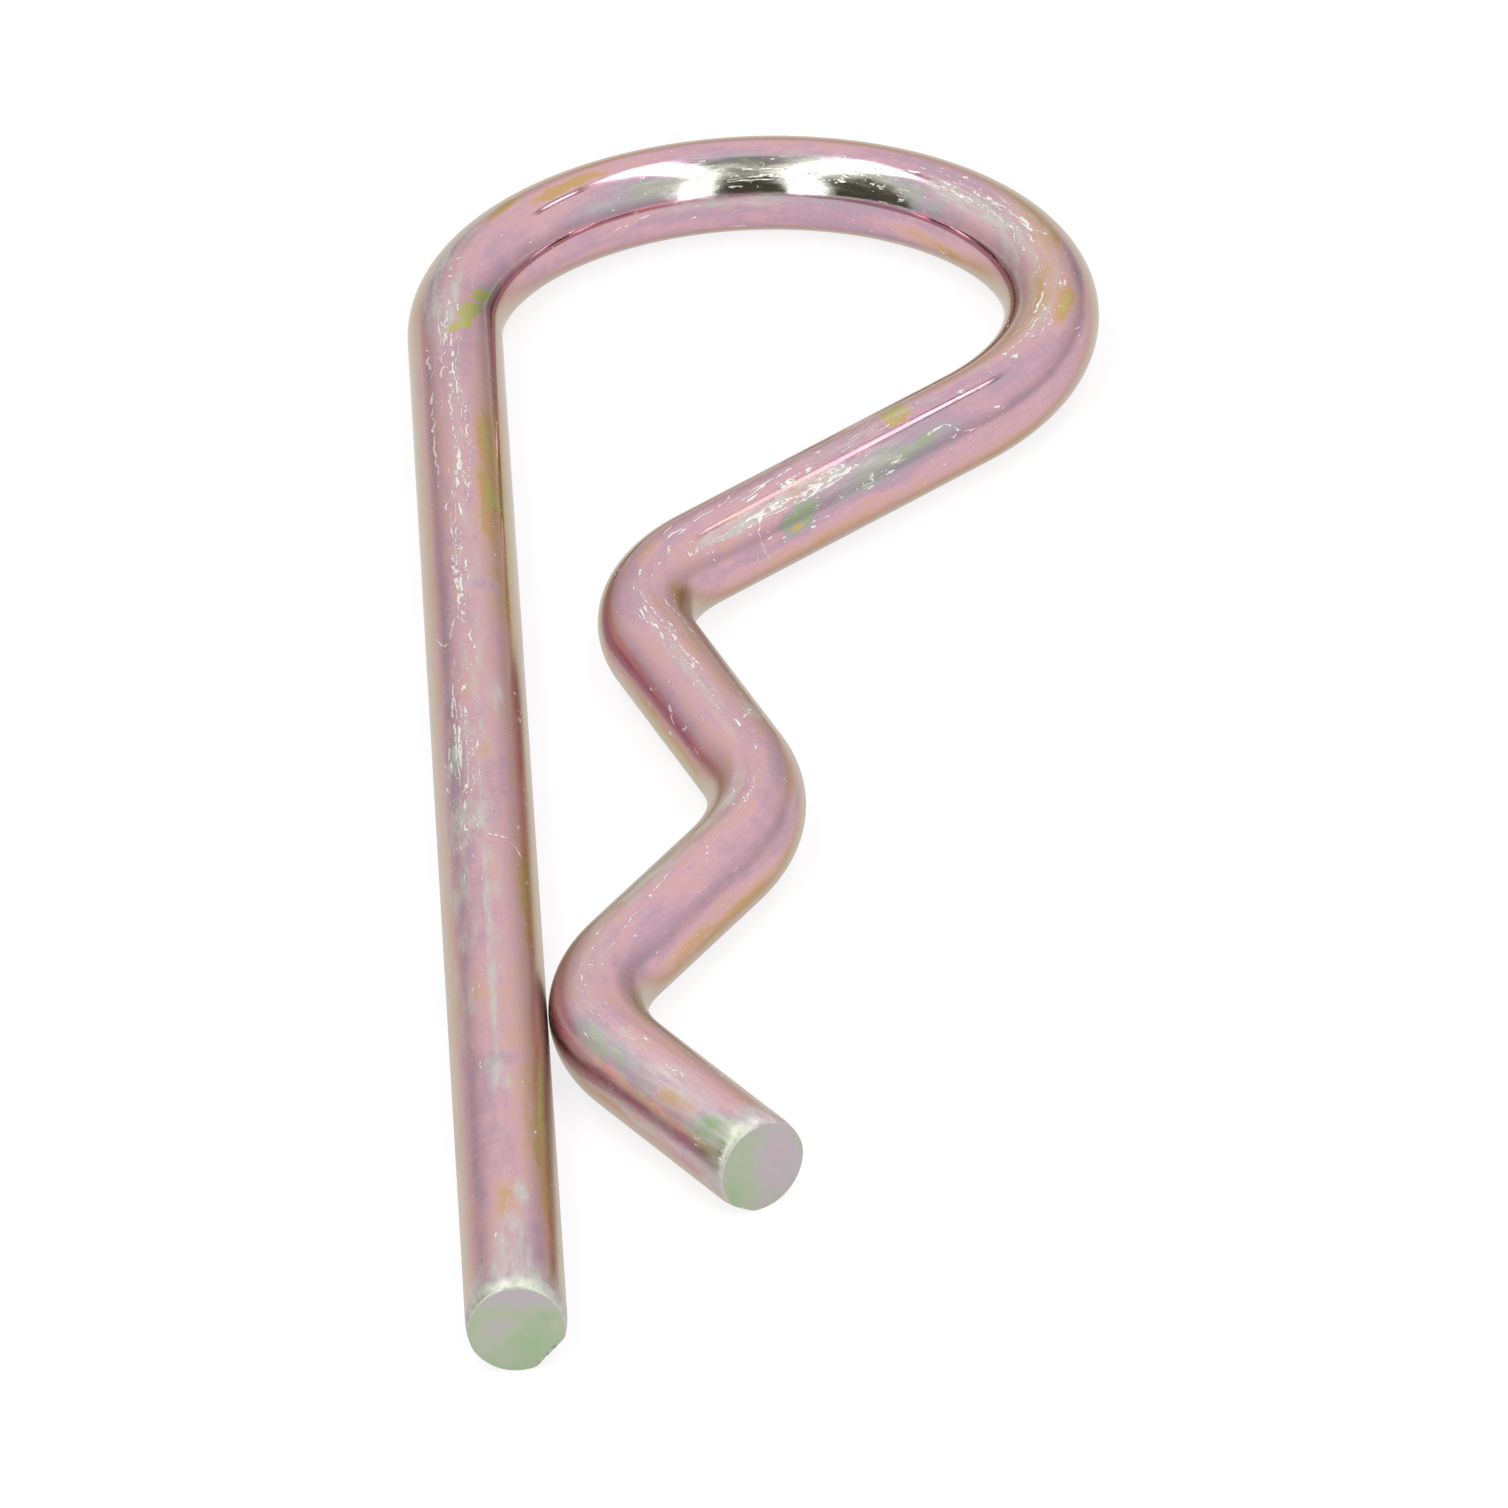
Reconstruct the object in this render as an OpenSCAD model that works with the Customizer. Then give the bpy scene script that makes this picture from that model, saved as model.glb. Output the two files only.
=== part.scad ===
// Hitch R-clip pin: one length of round spring wire, bent in one plane.
// It lies flat on the ground plane, with the straight leg along Y and the loop at the +Y end.
// Units are millimetres. The origin is under the middle of the clip.

/* [Wire] */
// Diameter of the spring wire
wire_d = 4; // [2.5:0.1:5]
// Rounding of the rim at both sheared ends
end_round = 0.45; // [0.1:0.05:0.8]

// Loss of wire radius in each bend, where the outer side stretches
bend_thinning = 0.01; // [0.01:0.01:0.05]

/* [Straight leg] */
// Overall length of the clip, from the leg's tip to the top of the loop
overall_length = 94.6; // [85:0.1:120]

/* [Loop] */
// Clear diameter inside the loop
loop_inner_d = 21; // [16:0.1:26]

/* [Waist] */
// Distance from the loop's centre down to the centre of the waist bend
waist_drop = 25.2; // [22:0.1:32]
// Clear gap between the straight leg and the waist
waist_gap = 3.1; // [1:0.1:5]
// Inside radius of the waist bend
waist_inner_r = 5.3; // [3:0.1:6.5]

/* [Shaft pocket] */
// Distance from the waist bend's centre down to the centre of the pocket bend
pocket_pitch = 14.8; // [13.5:0.1:20]
// Clear depth of the pocket, from the straight leg to the bulge
pocket_depth = 7; // [4.5:0.1:9]
// Inside radius of the bulge, which hugs the shaft
pocket_inner_r = 7.7; // [5:0.1:9]

/* [Nip and lip] */
// Distance from the pocket bend's centre down to the centre of the nip bend
nip_pitch = 16.4; // [15:0.1:22]
// Gap left between the nip and the straight leg at rest
nip_gap = 0.03; // [0.02:0.01:1]
// Inside radius of the nip bend
nip_inner_r = 6.1; // [3:0.1:7.5]
// Angle by which the lip flares away from the straight leg
lip_angle = 30; // [15:1:45]
// Straight length of the lip after the nip bend
lip_length = 9.7; // [4:0.1:14]

/* [Hidden] */
$fn = 96;
wire_r = wire_d / 2;
// Radii of the bends, taken at the wire's centre line
loop_r = loop_inner_d / 2 + wire_r;
waist_r = waist_inner_r + wire_r;
pocket_r = pocket_inner_r + wire_r;
nip_r = nip_inner_r + wire_r;
// Each straight run reaches this far into the bends at its ends, so that the wire is one solid
run_lap = 0.2;

// The loop's centre lies on the Y axis, so that the clip's box is centred on the origin
loop_y = overall_length / 2 - loop_r - wire_r;
leg_x = -loop_r;
tip_y = -overall_length / 2;

// Each bend is [centre, radius]: a radius above zero turns left, and one below zero turns right
loop = [[0, loop_y], -loop_r];
waist = [[leg_x + wire_d + waist_gap + waist_r, loop_y - waist_drop], waist_r];
pocket = [[leg_x + wire_d + pocket_depth - pocket_r, waist[0].y - pocket_pitch], -pocket_r];
nip = [[leg_x + wire_d + nip_gap + nip_r, pocket[0].y - nip_pitch], nip_r];

// Heading and length of the straight run that leaves bend a and meets bend b, tangent to both
function run_heading(a, b) =
    let (v = b[0] - a[0]) atan2(v.y, v.x) + asin((a[1] - b[1]) / norm(v));
function run_length(a, b) = sqrt(pow(norm(b[0] - a[0]), 2) - pow(a[1] - b[1], 2));

// Bend angles are set to a thousandth of a degree
angle_step = 0.001;
function set_angle(a) = round(a / angle_step) * angle_step;

leg_heading = 90;
neck_heading = run_heading(loop, waist);
drop_heading = run_heading(waist, pocket);
return_heading = run_heading(pocket, nip);
lip_heading = lip_angle - leg_heading;

// The wire from tip to tip, as a bender makes it: [straight run, bend radius, bend angle]
steps = [
    [loop_y - tip_y, loop[1], set_angle(leg_heading - neck_heading)],
    [run_length(loop, waist), waist[1], set_angle(drop_heading - neck_heading)],
    [run_length(waist, pocket), pocket[1], set_angle(drop_heading - return_heading)],
    [run_length(pocket, nip), nip[1], set_angle(lip_heading - return_heading)],
    [lip_length, 0, 0]
];

// Half section of a straight run: a sheared end has a rounded rim, a joined end laps into its bend
module run_section(length, sheared_start, sheared_end) {
    start = sheared_start ? 0 : -run_lap;
    end = sheared_end ? length : length + run_lap;
    rim_start = sheared_start ? start + end_round : start;
    rim_end = sheared_end ? end - end_round : end;
    translate([0, start]) square([wire_r - end_round, end - start]);
    translate([0, rim_start]) square([wire_r, rim_end - rim_start]);
    if (sheared_start) translate([wire_r - end_round, rim_start]) circle(end_round);
    if (sheared_end) translate([wire_r - end_round, rim_end]) circle(end_round);
}

// Straight run along +Y
module run(length, sheared_start, sheared_end) {
    rotate([-90, 0, 0]) rotate_extrude() run_section(length, sheared_start, sheared_end);
}

// Bend that starts along +Y and turns to the side that its radius says
module bend(radius, angle) {
    turn = sign(radius);
    translate([-radius, 0, 0])
        rotate([0, 0, turn > 0 ? 0 : 180])
            rotate_extrude(angle = turn * angle)
                translate([abs(radius), 0]) circle(wire_r - bend_thinning);
}

// Moves its children to the end of a bend
module after_bend(radius, angle) {
    translate([-radius, 0, 0]) rotate([0, 0, sign(radius) * angle]) translate([radius, 0, 0]) children();
}

// The wire from step i to its far end
module wire_from(i) {
    length = steps[i][0];
    radius = steps[i][1];
    angle = steps[i][2];
    last = i == len(steps) - 1;
    run(length, i == 0, last);
    if (!last) translate([0, length, 0]) {
        bend(radius, angle);
        after_bend(radius, angle) wire_from(i + 1);
    }
}

module r_clip() {
    color([0.80, 0.68, 0.64])
        translate([leg_x, tip_y, wire_r]) wire_from(0);
}

r_clip();
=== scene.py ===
from math import asin, atan2, ceil, copysign, cos, degrees, pi, radians, sin, sqrt

import bmesh
import bpy
from mathutils import Matrix, Vector, noise


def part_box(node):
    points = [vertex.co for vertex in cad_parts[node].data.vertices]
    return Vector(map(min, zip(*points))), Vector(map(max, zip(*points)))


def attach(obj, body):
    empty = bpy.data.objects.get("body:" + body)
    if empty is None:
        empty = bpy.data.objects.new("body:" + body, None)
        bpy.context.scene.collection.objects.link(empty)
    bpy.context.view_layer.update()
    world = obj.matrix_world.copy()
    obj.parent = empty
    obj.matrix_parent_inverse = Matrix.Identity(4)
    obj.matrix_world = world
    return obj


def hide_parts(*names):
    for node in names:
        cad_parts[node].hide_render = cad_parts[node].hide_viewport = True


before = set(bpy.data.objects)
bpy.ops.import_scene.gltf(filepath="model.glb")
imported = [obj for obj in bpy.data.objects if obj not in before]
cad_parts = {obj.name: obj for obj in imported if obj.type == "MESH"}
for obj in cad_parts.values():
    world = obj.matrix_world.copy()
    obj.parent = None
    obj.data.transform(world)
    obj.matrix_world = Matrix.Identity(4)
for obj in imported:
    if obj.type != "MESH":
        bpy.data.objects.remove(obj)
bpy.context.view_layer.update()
mm = 0.001
upward = Vector((0, 0, 1))

# Camera: a long lens, a little left of the middle, looking down on the clip as it lies
camera = {
    "target": (-1.40 * mm, 0.01 * mm, 0),
    "distance": 929.2 * mm,
    "azimuth": -1.063,    # degrees, towards +X from straight in front
    "elevation": 29.700,
    "roll": -2.623,
    "lens": 545.1,        # millimetres, on the sensor below
    "sensor": 36,
    "clipStart": 10 * mm,
}


def placeCamera():
    azimuth = radians(camera["azimuth"])
    elevation = radians(camera["elevation"])
    target = Vector(camera["target"])
    outward = Vector((sin(azimuth) * cos(elevation), -cos(azimuth) * cos(elevation), sin(elevation)))
    aim = (-outward).to_track_quat("-Z", "Y").to_matrix().to_4x4()
    roll = Matrix.Rotation(radians(camera["roll"]), 4, "Z")
    data = bpy.data.cameras.new("camera")
    data.lens = camera["lens"]
    data.sensor_width = camera["sensor"]
    data.clip_start = camera["clipStart"]
    view = bpy.data.objects.new("camera", data)
    view.matrix_world = Matrix.Translation(target + camera["distance"] * outward) @ aim @ roll
    bpy.context.scene.collection.objects.link(view)
    bpy.context.scene.camera = view


placeCamera()
print("camera placed")

# Wire: the frame gives its thickness, the loop and the overall length, and these shape the rest
wire = {
    "waistDrop": 25.2 * mm,     # loop's centre down to the waist bend's centre
    "waistGap": 3.1 * mm,       # clear gap between the waist and the straight leg
    "waistInner": 5.3 * mm,     # inside radius of the waist bend
    "pocketPitch": 14.8 * mm,   # waist bend's centre down to the pocket bend's centre
    "pocketDepth": 7.0 * mm,    # clear depth of the pocket
    "pocketInner": 7.7 * mm,
    "nipPitch": 16.4 * mm,      # pocket bend's centre down to the nip bend's centre
    "nipGap": 0.03 * mm,
    "nipInner": 6.1 * mm,
    "lipAngle": 30,             # degrees, away from the straight leg
    "lipLength": 9.7 * mm,
    "rollLength": 0.65 * mm,    # soft edge that shearing leaves on both ends, along the wire
    "rollDepth": 0.13 * mm,     # and inwards
    "rollTurn": 84,             # degrees through which it turns
    "rollLean": 1.6,            # how much deeper it is on the side where the blade went in
    "blades": (4, 40),          # that side at the leg's tip and the lip's tip, in degrees from the top
    "rollLeast": 0.15,          # share of the depth that is left on the far side
    "rollSteps": 10,
    "facets": 112,              # faces round the wire
    "ringPitch": 0.3 * mm,      # length of a face along the wire
    "capRings": (0.05 * mm, 0.3 * mm, 0.4 * mm, 0.4 * mm),   # widths of the rings on the cut faces
    "sharpEdge": 40,            # degrees from which an edge stays sharp
}
wireLow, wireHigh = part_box("r_clip")
wireRadius = (wireHigh.z - wireLow.z) / 2


def routeWire():
    # Straight runs and bends from tip to tip, along the wire's centre line
    loopRadius = -wireLow.x - wireRadius
    legX = wireLow.x + wireRadius
    waistRadius = wire["waistInner"] + wireRadius
    pocketRadius = wire["pocketInner"] + wireRadius
    nipRadius = wire["nipInner"] + wireRadius
    loopY = wireHigh.y - wireRadius - loopRadius
    waistY = loopY - wire["waistDrop"]
    pocketY = waistY - wire["pocketPitch"]
    nipY = pocketY - wire["nipPitch"]
    legRight = legX + 2 * wireRadius
    bends = [   # centre and radius, above zero where the wire turns left
        (Vector((0, loopY)), -loopRadius),
        (Vector((legRight + wire["waistGap"] + waistRadius, waistY)), waistRadius),
        (Vector((legRight + wire["pocketDepth"] - pocketRadius, pocketY)), -pocketRadius),
        (Vector((legRight + wire["nipGap"] + nipRadius, nipY)), nipRadius),
    ]
    headings = [pi / 2]
    lengths = [loopY - wireLow.y]
    for (centre, radius), (nextCentre, nextRadius) in zip(bends, bends[1:]):
        reach = nextCentre - centre
        headings.append(atan2(reach.y, reach.x) + asin((radius - nextRadius) / reach.length))
        lengths.append(sqrt(reach.length_squared - (radius - nextRadius) ** 2))
    headings.append(radians(wire["lipAngle"]) - pi / 2)
    lengths.append(wire["lipLength"])
    spot = Vector((legX, wireLow.y))
    route = []
    along = 0
    for index, length in enumerate(lengths):
        heading = headings[index]
        ahead = Vector((cos(heading), sin(heading)))
        route.append({"kind": "run", "start": spot.copy(), "ahead": ahead, "length": length, "along": along})
        spot += length * ahead
        along += length
        if index < len(bends):
            centre, radius = bends[index]
            sweep = headings[index + 1] - heading
            route.append({"kind": "bend", "centre": centre, "heading": heading, "sweep": sweep,
                          "length": abs(radius * sweep), "along": along})
            spot = centre + Matrix.Rotation(sweep, 2) @ (spot - centre)
            along += abs(radius * sweep)
    return route


def growRim(bm, rim):
    grown = bmesh.ops.extrude_edge_only(bm, edges=rim)["geom"]
    edges = [item for item in grown if isinstance(item, bmesh.types.BMEdge)]
    ring = [item for item in grown if isinstance(item, bmesh.types.BMVert)]
    return edges, ring


def growLeg(bm, rim, leg, place):
    # One straight run or bend in short rings; place keeps each ring's distance along the wire
    steps = ceil(leg["length"] / wire["ringPitch"])
    if leg["kind"] == "run":
        rim, ring = growRim(bm, rim)
        bmesh.ops.translate(bm, verts=ring, vec=(leg["ahead"] * leg["length"]).to_3d())
        for corner in ring:
            corner[place].z = leg["along"] + leg["length"]
        sides = [edge for corner in ring for edge in corner.link_edges if edge not in rim]
        bmesh.ops.subdivide_edges(bm, edges=sides, cuts=steps - 1)
        return rim
    before = len(bm.verts)
    spun = bmesh.ops.spin(bm, geom=rim, cent=leg["centre"].to_3d(), axis=(0, 0, 1), angle=leg["sweep"],
                          steps=steps, use_merge=False, use_duplicate=False)
    bm.verts.ensure_lookup_table()
    for index, corner in enumerate(bm.verts[before:]):
        ring = index // wire["facets"] + 1
        corner[place].z = leg["along"] + leg["length"] * ring / steps
    return [item for item in spun["geom_last"] if isinstance(item, bmesh.types.BMEdge)]


def leftOf(route, along):
    # Level direction to the left of the wire at a distance along it
    leg = [leg for leg in route if leg["along"] <= max(along, route[0]["along"])][-1]
    if leg["kind"] == "run":
        heading = atan2(leg["ahead"].y, leg["ahead"].x)
    else:
        heading = leg["heading"] + leg["sweep"] * (along - leg["along"]) / leg["length"]
    return Vector((-sin(heading), cos(heading), 0))


def outwardAt(around, left):
    # Direction out of the wire at an angle from its top
    angle = radians(90 + around)
    return cos(angle) * left + sin(angle) * upward


def shearEnd(bm, rim, heading, side, blade, place):
    # The edge rolls over, most where the blade went in, and the cut face closes it
    outward = side * heading
    left = Vector((-heading.y, heading.x, 0))
    facing = outwardAt(blade, left)
    middle = sum((edge.verts[0].co for edge in rim), Vector()) / len(rim)
    turned = 0
    for step in range(wire["rollSteps"]):
        rim, ring = growRim(bm, rim)
        nextTurn = radians(wire["rollTurn"]) * (step + 1) / wire["rollSteps"]
        reach = wire["rollLength"] * (sin(nextTurn) - sin(turned))
        shrink = wire["rollDepth"] * (cos(turned) - cos(nextTurn))
        for corner in ring:
            inward = (middle - corner.co).normalized()
            share = max(wire["rollLeast"], 1 - wire["rollLean"] * inward.dot(facing))
            corner.co += shrink * share * inward
            offset = corner.co - middle
            corner[place] = (offset.dot(left), offset.z, corner[place].z + side * reach)
            corner.co += reach * outward
        middle += reach * outward
        turned = nextTurn
    cap = bmesh.ops.contextual_create(bm, geom=rim)["faces"]
    for face in cap:
        face.material_index = 1
    for width in wire["capRings"]:
        bmesh.ops.inset_region(bm, faces=cap, thickness=width, use_even_offset=True)
    bmesh.ops.poke(bm, faces=cap)
    for corner in {corner for face in bm.faces if face.material_index == 1 for corner in face.verts}:
        offset = corner.co - middle
        if offset.length < wireRadius:
            corner[place] = (offset.dot(left), offset.z, corner[place].z)


# Flats rubbed or pressed onto the wire: their middle along it, how far they run each way, which way
# they face in degrees from the top, towards the straight leg's +X side, and their depth
flats = [
    {"along": 0 * mm, "reach": 3.0 * mm, "around": 133, "depth": 0.22 * mm},
    {"along": 0 * mm, "reach": 1.2 * mm, "around": -142, "depth": 0.03 * mm},
    {"along": 198.8 * mm, "reach": 1.6 * mm, "around": 150, "depth": 0.10 * mm},
    {"along": 137.5 * mm, "reach": 9.5 * mm, "around": -25, "depth": 0.006 * mm},
    {"along": 149.5 * mm, "reach": 8.0 * mm, "around": -12, "depth": 0.030 * mm},
    {"along": 168.0 * mm, "reach": 8.0 * mm, "around": 14, "depth": 0.035 * mm},
    {"along": 185.5 * mm, "reach": 9.0 * mm, "around": -8, "depth": 0.035 * mm},
]


def pressFlats(bm, route, place):
    for corner in bm.verts:
        aside, height, along = corner[place]
        for flat in flats:
            away = abs(along - flat["along"]) / flat["reach"]
            if away >= 1:
                continue
            facing = radians(90 + flat["around"])
            proud = aside * cos(facing) + height * sin(facing)
            spare = proud - (wireRadius - flat["depth"] * (1 - away ** 2))
            if spare > 0:
                corner.co -= spare * outwardAt(flat["around"], leftOf(route, along))


def makeWire():
    route = routeWire()
    first = route[0]
    last = route[-1]
    for leg in (first, last):
        leg["length"] -= wire["rollLength"]
    first["start"] += wire["rollLength"] * first["ahead"]
    first["along"] += wire["rollLength"]
    bm = bmesh.new()
    place = bm.verts.layers.float_vector.new("wirePlace")
    stand = Matrix.Translation(first["start"].to_3d()) @ Matrix.Rotation(pi / 2, 4, "X")
    bmesh.ops.create_circle(bm, cap_ends=False, radius=wireRadius, segments=wire["facets"], matrix=stand)
    for corner in bm.verts:
        corner[place] = (first["start"].x - corner.co.x, corner.co.z, first["along"])
    firstRim = bm.edges[:]
    rim = firstRim
    for leg in route:
        rim = growLeg(bm, rim, leg, place)
    shearEnd(bm, firstRim, first["ahead"].to_3d(), -1, wire["blades"][0], place)
    shearEnd(bm, rim, last["ahead"].to_3d(), 1, wire["blades"][1], place)
    pressFlats(bm, route, place)
    bmesh.ops.translate(bm, verts=bm.verts[:], vec=(0, 0, wireRadius))
    bmesh.ops.recalc_face_normals(bm, faces=bm.faces[:])
    for face in bm.faces:
        face.smooth = True
    for edge in bm.edges:
        edge.smooth = edge.calc_face_angle(0) < radians(wire["sharpEdge"])
    mesh = bpy.data.meshes.new("spring_wire")
    bm.to_mesh(mesh)
    bm.free()
    piece = bpy.data.objects.new("spring_wire", mesh)
    bpy.context.scene.collection.objects.link(piece)
    return piece


springWire = makeWire()
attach(springWire, "root")
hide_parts("r_clip")
print("wire bent:", len(springWire.data.polygons), "faces")


def addNode(tree, kind, inputs=None, **settings):
    made = tree.nodes.new(kind)
    for name, value in settings.items():
        setattr(made, name, value)
    for name, value in (inputs or {}).items():
        if isinstance(value, bpy.types.NodeSocket):
            tree.links.new(value, made.inputs[name])
        else:
            made.inputs[name].default_value = value
    return made


def calc(tree, operation, *values):
    return addNode(tree, "ShaderNodeMath", dict(enumerate(values)), operation=operation).outputs[0]


def calcVector(tree, operation, *values):
    return addNode(tree, "ShaderNodeVectorMath", dict(enumerate(values)), operation=operation).outputs[0]


def toVector(tree, x, y, z=0):
    return addNode(tree, "ShaderNodeCombineXYZ", {0: x, 1: y, 2: z}).outputs[0]


def partsOf(tree, vector):
    return addNode(tree, "ShaderNodeSeparateXYZ", {0: vector}).outputs


def readAttribute(tree, name):
    return addNode(tree, "ShaderNodeAttribute", attribute_name=name).outputs["Vector"]


def mixValue(tree, share, under, over):
    return addNode(tree, "ShaderNodeMix", {0: share, 2: under, 3: over}).outputs[0]


def mixColour(tree, share, under, over):
    return addNode(tree, "ShaderNodeMix", {0: share, 6: under, 7: over}, data_type="RGBA").outputs[2]


def mapValue(tree, value, low, high, newLow=0, newHigh=1, easing="LINEAR"):
    inputs = {"Value": value, "From Min": low, "From Max": high, "To Min": newLow, "To Max": newHigh}
    return addNode(tree, "ShaderNodeMapRange", inputs, interpolation_type=easing).outputs[0]


def swing(tree, height, depth, base):
    # Moves a value up and down by a noise's height, which lies about a half
    return calc(tree, "MULTIPLY_ADD", calc(tree, "SUBTRACT", height, 0.5), depth, base)


def newGroup(name, inputs, outputs):
    # Inputs and outputs are given as name: kind, where kind is Float, Vector or Color
    group = bpy.data.node_groups.new(name, "ShaderNodeTree")
    for way, sockets in (("INPUT", inputs), ("OUTPUT", outputs)):
        for label, kind in sockets.items():
            group.interface.new_socket(label, in_out=way, socket_type="NodeSocket" + kind)
    entry = group.nodes.new("NodeGroupInput")
    leave = group.nodes.new("NodeGroupOutput")
    return group, entry.outputs, leave.inputs


def useGroup(tree, group, **inputs):
    labelled = {label.replace("_", " "): value for label, value in inputs.items()}
    return addNode(tree, "ShaderNodeGroup", labelled, node_tree=group).outputs


def wirePlaceGroup():
    # The wire as it was before bending: Rod in millimetres, and Spot as (along, around, 0)
    group, entry, leave = newGroup("wirePlace", {}, {"Rod": "Vector", "Spot": "Vector"})
    place = readAttribute(group, "wirePlace")
    rod = addNode(group, "ShaderNodeVectorMath", {0: place, "Scale": 1 / mm}, operation="SCALE").outputs[0]
    parts = partsOf(group, rod)
    aside = calc(group, "MULTIPLY", parts["X"], -1)
    around = calc(group, "DEGREES", calc(group, "ARCTAN2", aside, parts["Y"]))
    group.links.new(rod, leave["Rod"])
    group.links.new(toVector(group, parts["Z"], around), leave["Spot"])
    return group


def streakGroup():
    # Noise drawn out along the wire: Across and Along are features per millimetre
    group, entry, leave = newGroup(
        "drawnStreaks",
        {"Rod": "Vector", "Across": "Float", "Along": "Float", "Detail": "Float", "Seed": "Float"},
        {"Value": "Float", "Sway": "Vector"})
    scale = toVector(group, entry["Across"], entry["Across"], entry["Along"])
    shift = toVector(group, entry["Seed"], entry["Seed"])
    place = calcVector(group, "MULTIPLY_ADD", entry["Rod"], scale, shift)
    height, colour = addNode(group, "ShaderNodeTexNoise", {
        "Vector": place, "Scale": 1, "Detail": entry["Detail"], "Roughness": 0.55}).outputs
    group.links.new(height, leave["Value"])
    group.links.new(calcVector(group, "SUBTRACT", colour, (0.5, 0.5, 0.5)), leave["Sway"])
    return group


def patchGroup():
    # One soft or ragged patch at a place on the wire
    group, entry, leave = newGroup(
        "patchMask",
        {"Spot": "Vector", "Rag": "Float", "Centre": "Vector", "Half Size": "Vector", "Slant": "Float",
         "Ragged": "Float", "Soft": "Float"},
        {"Mask": "Float"})
    away = partsOf(group, calcVector(group, "SUBTRACT", entry["Spot"], entry["Centre"]))
    lean = calc(group, "MULTIPLY", away["X"], entry["Slant"])
    straight = toVector(group, away["X"], calc(group, "SUBTRACT", away["Y"], lean))
    sized = calcVector(group, "DIVIDE", straight, entry["Half Size"])
    reach = addNode(group, "ShaderNodeVectorMath", {0: sized}, operation="LENGTH").outputs["Value"]
    edge = swing(group, entry["Rag"], entry["Ragged"], reach)
    inner = calc(group, "SUBTRACT", 1, entry["Soft"])
    outer = calc(group, "ADD", 1, entry["Soft"])
    group.links.new(mapValue(group, edge, outer, inner, easing="SMOOTHSTEP"), leave["Mask"])
    return group


# Fine scratches. Each noise is (features per millimetre across and along the wire, detail, seed). The film
# is gone where it rises above its level, which full wear lowers by the second number
scratchLook = {
    "shake": (3.5, 1.3, 3, 2),
    "shakeReach": 0.2,          # millimetres
    "line": (1.3, 0.08, 2, 0),
    "lineGap": 0.055,           # between contours, in the noise's height
    "lineWidth": 0.006,
    "lineEdge": 0.010,
    "broken": {"noise": (2.0, 0.9, 5, 5), "level": (0.73, 0.27), "edge": 0.03},
    "chips": {"noise": (5.5, 1.3, 5, 9), "level": (0.82, 0.14), "edge": 0.02},
    "specks": {"noise": (8, 3.5, 2, 14), "level": (0.765, 0.09), "edge": 0.03},
}


def scratchGroup():
    # Fine broken lines, chips and specks where the film is gone; Share sets how many
    group, entry, leave = newGroup("scratchLines", {"Rod": "Vector", "Share": "Float", "Seed": "Float"},
                                   {"Mask": "Float"})

    def streak(rod, across, along, detail, step):
        seed = calc(group, "ADD", entry["Seed"], step)
        return useGroup(group, streaks, Rod=rod, Across=across, Along=along, Detail=detail, Seed=seed)

    def above(height, level, edge):
        return mapValue(group, height, calc(group, "SUBTRACT", level, edge), level, easing="SMOOTHSTEP")

    def bare(kind):
        look = scratchLook[kind]
        level, wear = look["level"]
        height = streak(entry["Rod"], *look["noise"])["Value"]
        return above(height, calc(group, "MULTIPLY_ADD", entry["Share"], -wear, level), look["edge"])

    # Lines follow the contours of drawn-out noise, shaken so that they are never straight
    shake = streak(entry["Rod"], *scratchLook["shake"])["Sway"]
    shaken = calcVector(group, "MULTIPLY_ADD", shake, [scratchLook["shakeReach"]] * 3, entry["Rod"])
    height = streak(shaken, *scratchLook["line"])["Value"]
    gap = calc(group, "PINGPONG", height, scratchLook["lineGap"])
    line = above(calc(group, "MULTIPLY", gap, -1), -scratchLook["lineWidth"], scratchLook["lineEdge"])
    lines = calc(group, "MULTIPLY", line, bare("broken"))
    mask = calc(group, "MAXIMUM", lines, calc(group, "MAXIMUM", bare("chips"), bare("specks")))
    group.links.new(mask, leave["Mask"])
    return group


wirePlaces = wirePlaceGroup()
streaks = streakGroup()
patch = patchGroup()
scratches = scratchGroup()

# Noises drawn along the wire: features per millimetre across and along it, detail and seed
grains = {
    "drift": (0.45, 0.07, 3, 11),     # film thickness in long streaks
    "rings": (0.35, 2.2, 4, 11),      # in faint rings round the wire
    "mottle": (2.0, 0.5, 5, 11),      # in small blots
    "fine": (9, 3, 2, 11),            # and in fine grain
    "blot": (1.5, 1.1, 6, 20),        # ragged edges of the flakes
    "feather": (2.0, 0.4, 5, 27),     # and of the haze
    "fleck": (3.4, 0.8, 6, 33),       # grain of the haze
    "shake": (2.6, 1.2, 4, 40),       # wander of the single scratches
    "gaps": (4.5, 2.6, 4, 46),        # where they break off
    "smudge": (0.6, 0.3, 4, 60),      # uneven gloss
    "waves": (0.6, 0.2, 2, 80),       # relief from drawing the wire
    "rag": (1.2, 0.1, 4, 50),         # ragged edges of the cut faces' patches
    "cloud": (0.8, 0.1, 5, 53),       # film thickness on the cut faces
    "shear": (3, 0.1, 5, 55),         # shear marks
}

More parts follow.
